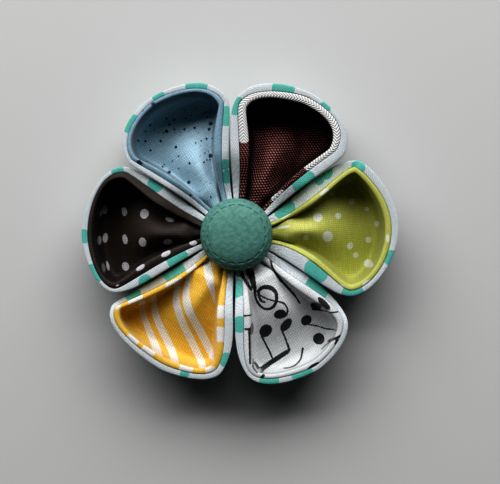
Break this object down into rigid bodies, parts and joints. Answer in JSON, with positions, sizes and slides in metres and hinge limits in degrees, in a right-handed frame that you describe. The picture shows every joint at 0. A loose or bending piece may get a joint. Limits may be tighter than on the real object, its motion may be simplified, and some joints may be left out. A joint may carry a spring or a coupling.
{
  "type": "fabric flower lapel pin",
  "caption": "Round flower pin of folded double-layer cotton petals, each a cupped pocket in its own print, round a domed covered button, with a plain pin at the back.",
  "frame": {"origin": "under the flower's middle, on the surface that the petals' keels rest on, which is the garment's surface when the flower is worn", "axes": "+Z out of the flower's face, +Y towards the top of the flower as worn and as pictured, +X to the right along the pin's wire"},
  "size_m": [0.0795, 0.0754, 0.0159],
  "materials": {
    "cover_cotton": "matte",
    "lining_lime": "matte",
    "lining_oxblood": "matte",
    "lining_blue": "matte",
    "lining_brown": "matte",
    "lining_yellow": "matte",
    "lining_note": "matte",
    "button_leather": "satin",
    "pin_steel": "satin"
  },
  "bodies": {
    "root": {"cover_lime": "cover_cotton", "cover_oxblood": "cover_cotton", "cover_blue": "cover_cotton", "cover_brown": "cover_cotton", "cover_yellow": "cover_cotton", "cover_note": "cover_cotton", "lining_lime": "lining_lime", "lining_oxblood": "lining_oxblood", "lining_blue": "lining_blue", "lining_brown": "lining_brown", "lining_yellow": "lining_yellow", "lining_note": "lining_note", "button": "button_leather", "pin_back": "pin_steel"}
  },
  "joints": []
}
